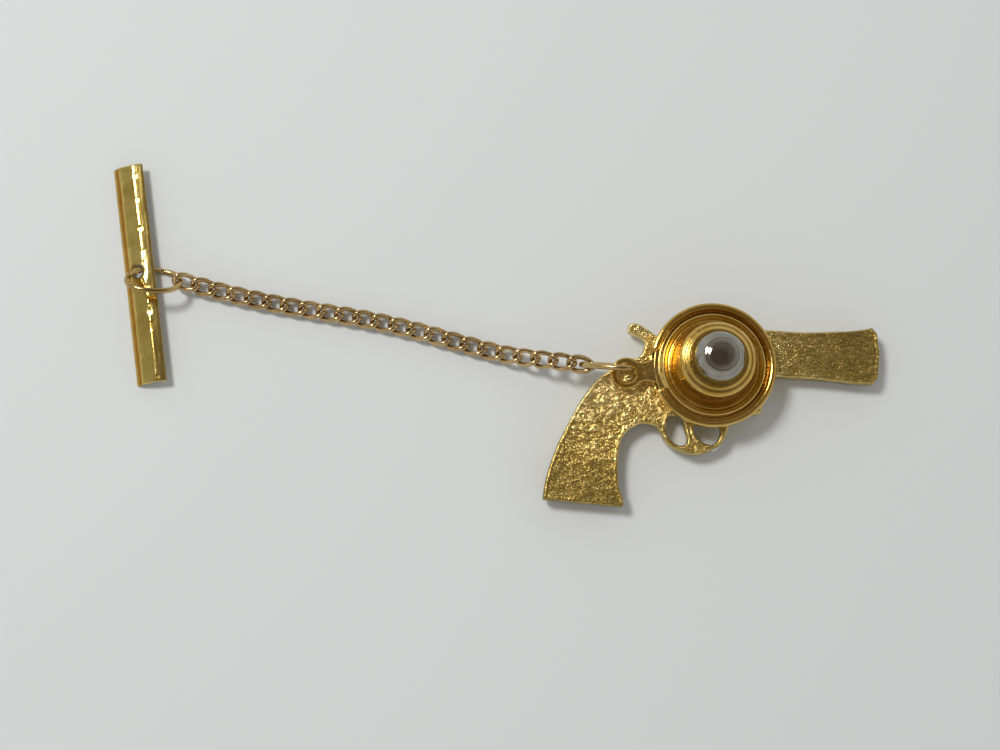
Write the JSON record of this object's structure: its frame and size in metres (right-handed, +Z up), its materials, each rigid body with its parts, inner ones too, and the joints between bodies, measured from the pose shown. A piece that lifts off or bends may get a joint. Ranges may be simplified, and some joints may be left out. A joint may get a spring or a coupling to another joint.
{
  "type": "tie tack",
  "caption": "Tie tack: a flat cast revolver-shaped emblem on a short pin, a ball-lock pull clutch, and a fine curb chain to a T-bar for a buttonhole.",
  "frame": {"origin": "middle of the part in plan, on the plane the emblem lies on face down", "axes": "+X towards the muzzle end of the emblem, away from the T-bar; +Y towards the top edge of the emblem; +Z up the pin, out of the back of the emblem"},
  "size_m": [0.069, 0.0313, 0.0085],
  "materials": {
    "cast_gilt": "die-cast zinc alloy, gilt plated, sandy as-cast back with the high spots polished bright",
    "pin_gilt": "drawn wire pin, gilt plated, bright",
    "solder": "soft solder fillet, dull",
    "cup_gilt": "drawn and rolled sheet brass, bright gold plate",
    "housing_gilt": "drawn sheet brass, bright gold plate",
    "steel": "hardened steel, plain bright",
    "cage_brass": "turned brass, plain",
    "cap_nickel": "turned brass, polished nickel plate",
    "chain_gilt": "drawn brass wire, rosy gold plate, barrel polished",
    "ring_gilt": "drawn brass wire, rosy gold plate, barrel polished",
    "bar_gilt": "pressed sheet brass, bright gold plate with fine wear scratches"
  },
  "bodies": {
    "emblem": {"emblem_casting": "cast_gilt", "pin_post": "pin_gilt", "pin_solder": "solder"},
    "clutch_core": {"clutch_ball_race": "steel"},
    "release_plunger": {"release_cage": "cage_brass", "release_cap": "cap_nickel", "lock_ball_1": "steel", "lock_ball_2": "steel", "lock_ball_3": "steel", "release_spring": "steel"},
    "clutch_shell": {"clutch_housing": "housing_gilt", "clutch_base_cup": "cup_gilt"},
    "clutch_ring": {"clutch_ring": "ring_gilt"},
    "chain_link_23": {"chain_link_23": "chain_gilt"},
    "chain_link_22": {"chain_link_22": "chain_gilt"},
    "chain_link_21": {"chain_link_21": "chain_gilt"},
    "chain_link_20": {"chain_link_20": "chain_gilt"},
    "chain_link_19": {"chain_link_19": "chain_gilt"},
    "chain_link_18": {"chain_link_18": "chain_gilt"},
    "chain_link_17": {"chain_link_17": "chain_gilt"},
    "chain_link_16": {"chain_link_16": "chain_gilt"},
    "chain_link_15": {"chain_link_15": "chain_gilt"},
    "chain_link_14": {"chain_link_14": "chain_gilt"},
    "chain_link_13": {"chain_link_13": "chain_gilt"},
    "chain_link_12": {"chain_link_12": "chain_gilt"},
    "chain_link_11": {"chain_link_11": "chain_gilt"},
    "chain_link_10": {"chain_link_10": "chain_gilt"},
    "chain_link_09": {"chain_link_09": "chain_gilt"},
    "chain_link_08": {"chain_link_08": "chain_gilt"},
    "chain_link_07": {"chain_link_07": "chain_gilt"},
    "chain_link_06": {"chain_link_06": "chain_gilt"},
    "chain_link_05": {"chain_link_05": "chain_gilt"},
    "chain_link_04": {"chain_link_04": "chain_gilt"},
    "chain_link_03": {"chain_link_03": "chain_gilt"},
    "chain_link_02": {"chain_link_02": "chain_gilt"},
    "chain_link_01": {"chain_link_01": "chain_gilt"},
    "bar_ring": {"bar_ring": "ring_gilt"},
    "t_bar": {"t_bar": "bar_gilt"}
  },
  "joints": [
    {"name": "clutch_pull_off", "type": "slide", "parent": "emblem", "child": "clutch_core", "axis": [0, 0, 1], "range_m": [0, 0.012]},
    {"name": "cap_pull", "type": "slide", "parent": "clutch_core", "child": "release_plunger", "axis": [0, 0, 1], "range_m": [0, 0.0004], "stiffness_N_per_m": 600, "springref_m": -0.001, "deforming": ["release_spring"]},
    {"name": "clutch_spin", "type": "hinge", "parent": "clutch_core", "child": "clutch_shell", "pos_m": [0.01956, -0.0034, 0.004], "axis": [0, 0, 1], "range_deg": [-120, 0]},
    {"name": "clutch_ring_lift", "type": "hinge", "parent": "clutch_shell", "child": "clutch_ring", "pos_m": [0.01106, -0.0039, 0.0033], "axis": [0.1609, 0.987, 0], "range_deg": [0, 55]},
    {"name": "chain_link_23_swing", "type": "hinge", "parent": "clutch_ring", "child": "chain_link_23", "pos_m": [0.00813, -0.00318, 0.00215], "axis": [0, 0, 1], "range_deg": [-50, 10]},
    {"name": "chain_link_22_swing", "type": "hinge", "parent": "chain_link_23", "child": "chain_link_22", "pos_m": [0.00727, -0.0031, 0.00227], "axis": [-0.1473, -0.9891, 0], "range_deg": [-25, 25]},
    {"name": "chain_link_21_swing", "type": "hinge", "parent": "chain_link_22", "child": "chain_link_21", "pos_m": [0.00568, -0.00285, 0.00199], "axis": [0.2415, -0.0399, -0.9696], "range_deg": [-25, 25]},
    {"name": "chain_link_20_swing", "type": "hinge", "parent": "chain_link_21", "child": "chain_link_20", "pos_m": [0.00413, -0.00258, 0.00154], "axis": [0.1844, 0.9829, 0], "range_deg": [-25, 25]},
    {"name": "chain_link_19_swing", "type": "hinge", "parent": "chain_link_20", "child": "chain_link_19", "pos_m": [0.00258, -0.00227, 0.00106], "axis": [-0.2714, 0.0581, 0.9607], "range_deg": [-25, 25]},
    {"name": "chain_link_18_swing", "type": "hinge", "parent": "chain_link_19", "child": "chain_link_18", "pos_m": [0.001, -0.00191, 0.0007], "axis": [-0.232, -0.9727, 0], "range_deg": [-25, 25]},
    {"name": "chain_link_17_swing", "type": "hinge", "parent": "chain_link_18", "child": "chain_link_17", "pos_m": [-0.00061, -0.0015, 0.00055], "axis": [0.0142, -0.0038, -0.9999], "range_deg": [-25, 25]},
    {"name": "chain_link_16_swing", "type": "hinge", "parent": "chain_link_17", "child": "chain_link_16", "pos_m": [-0.0022, -0.00106, 0.00054], "axis": [0.2746, 0.9616, 0], "range_deg": [-25, 25]},
    {"name": "chain_link_15_swing", "type": "hinge", "parent": "chain_link_16", "child": "chain_link_15", "pos_m": [-0.00379, -0.00061, 0.00054], "axis": [0, 0, 1], "range_deg": [-25, 25]},
    {"name": "chain_link_14_swing", "type": "hinge", "parent": "chain_link_15", "child": "chain_link_14", "pos_m": [-0.00538, -0.00016, 0.00054], "axis": [-0.2669, -0.9637, 0], "range_deg": [-25, 25]},
    {"name": "chain_link_13_swing", "type": "hinge", "parent": "chain_link_14", "child": "chain_link_13", "pos_m": [-0.00698, 0.00027, 0.00054], "axis": [0, 0, -1], "range_deg": [-25, 25]},
    {"name": "chain_link_12_swing", "type": "hinge", "parent": "chain_link_13", "child": "chain_link_12", "pos_m": [-0.00858, 0.00066, 0.00054], "axis": [0.2255, 0.9742, 0], "range_deg": [-25, 25]},
    {"name": "chain_link_11_swing", "type": "hinge", "parent": "chain_link_12", "child": "chain_link_11", "pos_m": [-0.01019, 0.00101, 0.00054], "axis": [0, 0, 1], "range_deg": [-25, 25]},
    {"name": "chain_link_10_swing", "type": "hinge", "parent": "chain_link_11", "child": "chain_link_10", "pos_m": [-0.01181, 0.00133, 0.00054], "axis": [-0.1816, -0.9834, 0], "range_deg": [-25, 25]},
    {"name": "chain_link_09_swing", "type": "hinge", "parent": "chain_link_10", "child": "chain_link_09", "pos_m": [-0.01344, 0.00162, 0.00054], "axis": [0, 0, -1], "range_deg": [-25, 25]},
    {"name": "chain_link_08_swing", "type": "hinge", "parent": "chain_link_09", "child": "chain_link_08", "pos_m": [-0.01507, 0.00189, 0.00054], "axis": [0.1651, 0.9863, 0], "range_deg": [-25, 25]},
    {"name": "chain_link_07_swing", "type": "hinge", "parent": "chain_link_08", "child": "chain_link_07", "pos_m": [-0.01669, 0.00217, 0.00054], "axis": [0.0003, 0, 1], "range_deg": [-25, 25]},
    {"name": "chain_link_06_swing", "type": "hinge", "parent": "chain_link_07", "child": "chain_link_06", "pos_m": [-0.01832, 0.00246, 0.00054], "axis": [-0.1838, -0.983, 0], "range_deg": [-25, 25]},
    {"name": "chain_link_05_swing", "type": "hinge", "parent": "chain_link_06", "child": "chain_link_05", "pos_m": [-0.01994, 0.00278, 0.00054], "axis": [-0.0022, 0.0004, -1], "range_deg": [-25, 25]},
    {"name": "chain_link_04_swing", "type": "hinge", "parent": "chain_link_05", "child": "chain_link_04", "pos_m": [-0.02155, 0.00313, 0.00055], "axis": [0.2196, 0.9756, 0], "range_deg": [-25, 25]},
    {"name": "chain_link_03_swing", "type": "hinge", "parent": "chain_link_04", "child": "chain_link_03", "pos_m": [-0.02316, 0.0035, 0.00057], "axis": [0.0171, -0.0041, 0.9998], "range_deg": [-25, 25]},
    {"name": "chain_link_02_swing", "type": "hinge", "parent": "chain_link_03", "child": "chain_link_02", "pos_m": [-0.02477, 0.0039, 0.00063], "axis": [-0.2441, -0.9698, 0], "range_deg": [-25, 25]},
    {"name": "chain_link_01_swing", "type": "hinge", "parent": "chain_link_02", "child": "chain_link_01", "pos_m": [-0.02638, 0.0043, 0.00078], "axis": [-0.1312, 0.033, -0.9908], "range_deg": [-25, 25]},
    {"name": "bar_ring_swing", "type": "hinge", "parent": "chain_link_01", "child": "bar_ring", "pos_m": [-0.02741, 0.00445, 0.00107], "axis": [-0.0714, -0.9974, 0], "range_deg": [-10, 35]},
    {"name": "bar_turn", "type": "hinge", "parent": "bar_ring", "child": "t_bar", "pos_m": [-0.03159, 0.00553, 0.0008], "axis": [-0.2807, -0.043, 0.9588], "range_deg": [-80, 30]}
  ]
}
